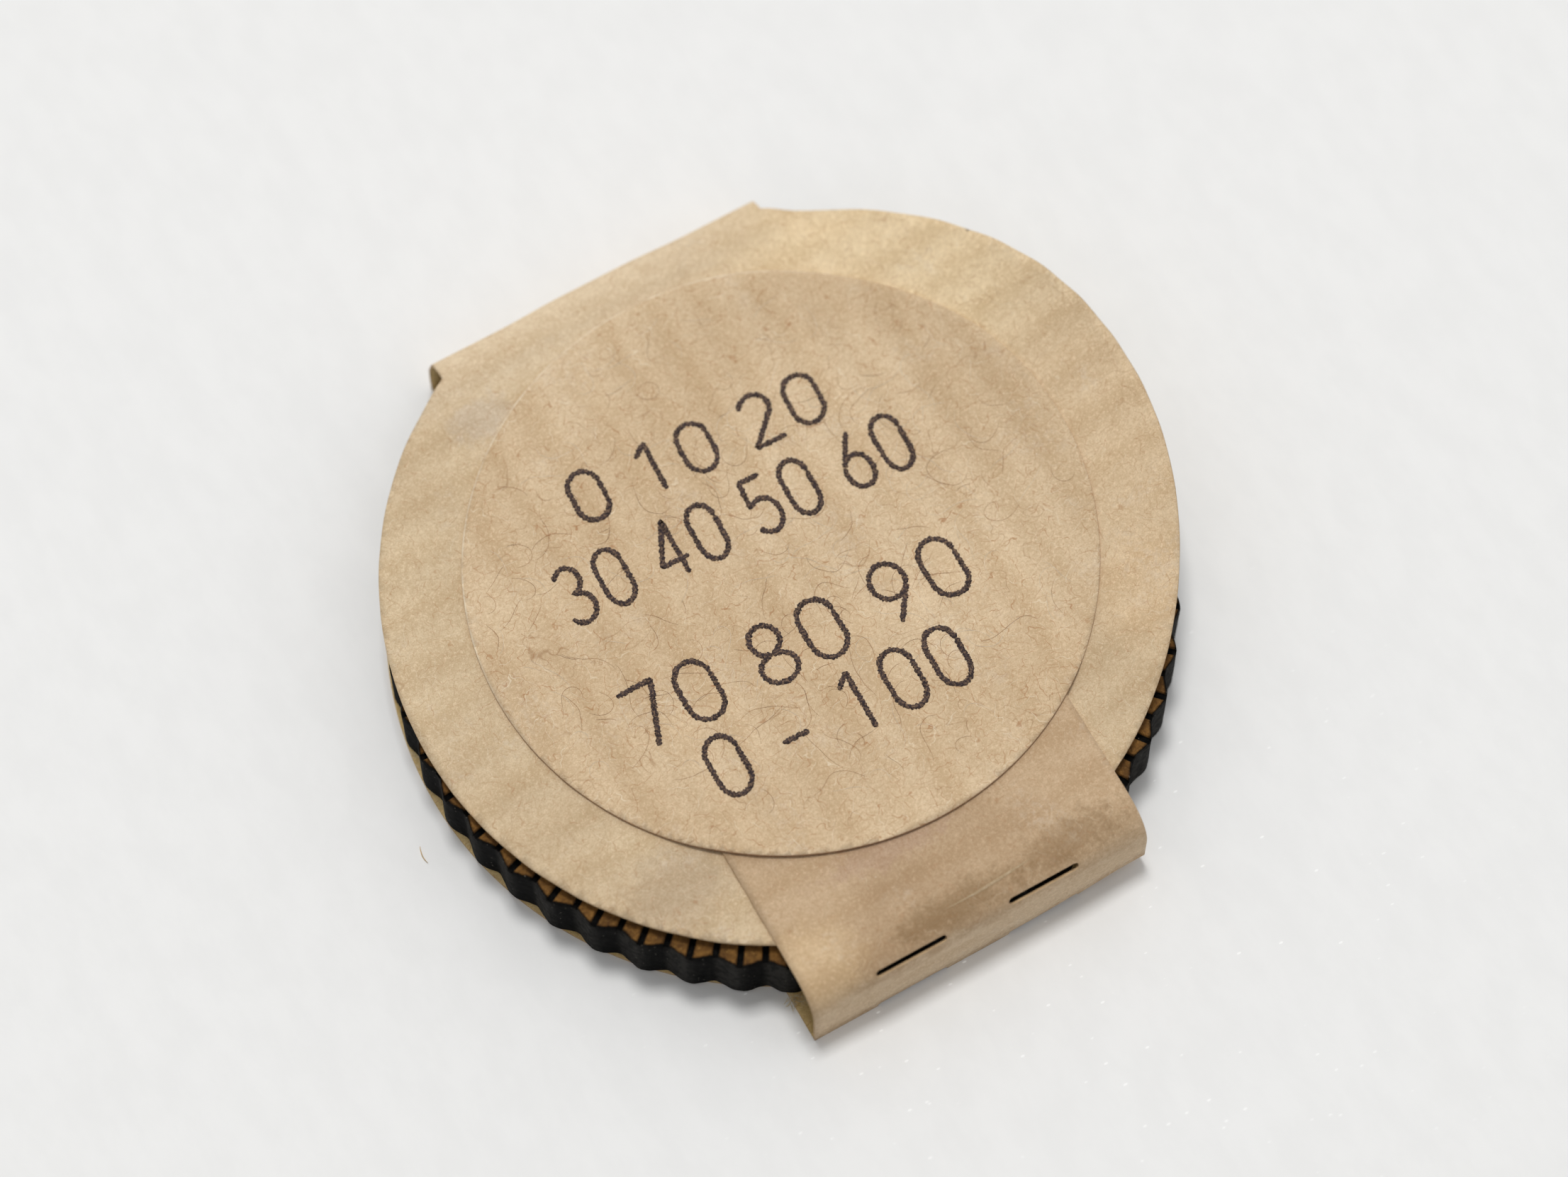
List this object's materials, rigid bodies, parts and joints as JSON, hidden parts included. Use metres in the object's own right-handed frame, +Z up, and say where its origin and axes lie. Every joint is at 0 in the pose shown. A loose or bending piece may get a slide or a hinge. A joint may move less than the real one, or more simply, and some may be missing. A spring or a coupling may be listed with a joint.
{
  "type": "measuring wheel",
  "caption": "Thin measuring wheel with a scalloped rim and millimetre marks, held flat in a folded kraft paper sleeve closed by a round label.",
  "frame": {"origin": "on the wheel's axis, on the underside of the base panel", "axes": "+Z up through the wheel, +X along the paper creases, +Y from the tab towards the spine"},
  "size_m": [0.0327, 0.0327, 0.0059],
  "materials": {
    "kraft_paper": "matt ribbed kraft paper with fine fibres",
    "label_paper": "matt kraft label paper, faintly cockled",
    "label_ink": "matt dark toner",
    "adhesive_film": "clear tacky film",
    "fibreboard": "fibrous brown board, laser-charred black on cut edges and in the engraved marks",
    "brass_plate": "satin"
  },
  "bodies": {
    "base": {"base_panel": "kraft_paper"},
    "spine": {"spine_panel": "kraft_paper"},
    "lid": {"top_panel": "kraft_paper", "tab_flap": "kraft_paper", "label_face": "label_paper", "label_adhesive": "adhesive_film"},
    "riser": {"tab_riser": "kraft_paper"},
    "hub": {"hub_eyelet": "brass_plate", "hub_washer": "brass_plate"},
    "wheel": {"wheel_disc": "fibreboard"}
  },
  "joints": [
    {"name": "spine_crease", "type": "hinge", "parent": "base", "child": "spine", "pos_m": [0, 0.01646, 0.00006], "axis": [-1, 0, 0], "range_deg": [0, 75]},
    {"name": "lid_crease", "type": "hinge", "parent": "spine", "child": "lid", "pos_m": [0, 0.01646, 0.00245], "axis": [-1, 0, 0], "range_deg": [0, 75]},
    {"name": "riser_crease", "type": "hinge", "parent": "base", "child": "riser", "pos_m": [0, -0.01616, 0.00006], "axis": [1, 0, 0], "range_deg": [0, 90]},
    {"name": "wheel_draw", "type": "slide", "parent": "base", "child": "hub", "axis": [1, 0, 0], "range_m": [-0.034, 0.034]},
    {"name": "wheel_spin", "type": "hinge", "parent": "hub", "child": "wheel", "pos_m": [0, 0, 0], "axis": [0, 0, 1], "continuous": true}
  ]
}
